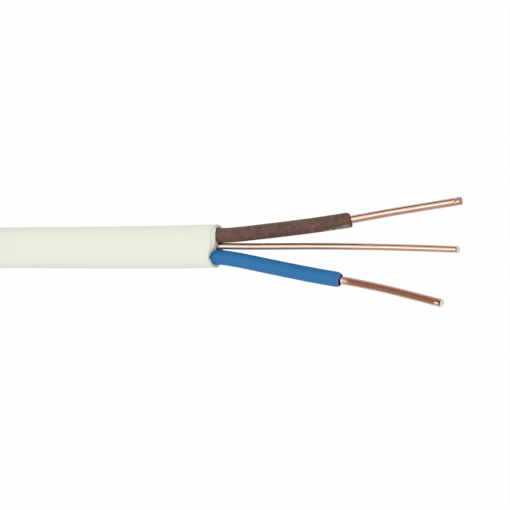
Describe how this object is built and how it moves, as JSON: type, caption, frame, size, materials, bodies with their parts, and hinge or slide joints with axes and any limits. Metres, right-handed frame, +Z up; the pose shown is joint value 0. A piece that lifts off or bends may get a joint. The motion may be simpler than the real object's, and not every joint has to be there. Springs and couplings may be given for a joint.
{
  "type": "coil of flat twin and earth cable",
  "caption": "Short tied coil of flat white sheathed cable, its outer end stripped to a brown core, a blue core and a bare copper earth.",
  "frame": {"origin": "on the floor that the coil lies on, under the middle of the part's footprint", "axes": "+Z up along the coil's axis, +X along the straight tail towards the stripped end, +Y from the blue core to the brown core"},
  "size_m": [0.288, 0.169, 0.0369],
  "materials": {
    "sheath_pvc": "soft satin extruded vinyl, warm white",
    "brown_pvc": "satin extruded vinyl, faintly scuffed",
    "blue_pvc": "smooth satin extruded vinyl",
    "bare_copper": null,
    "tie_nylon": "natural moulded nylon"
  },
  "bodies": {
    "root": {"coil": "sheath_pvc", "tail_sheath": "sheath_pvc", "brown_insulation": "brown_pvc", "blue_insulation": "blue_pvc", "line_conductor": "bare_copper", "neutral_conductor": "bare_copper", "earth_conductor": "bare_copper", "cable_tie_1": "tie_nylon", "cable_tie_2": "tie_nylon", "cable_tie_3": "tie_nylon"}
  },
  "joints": []
}
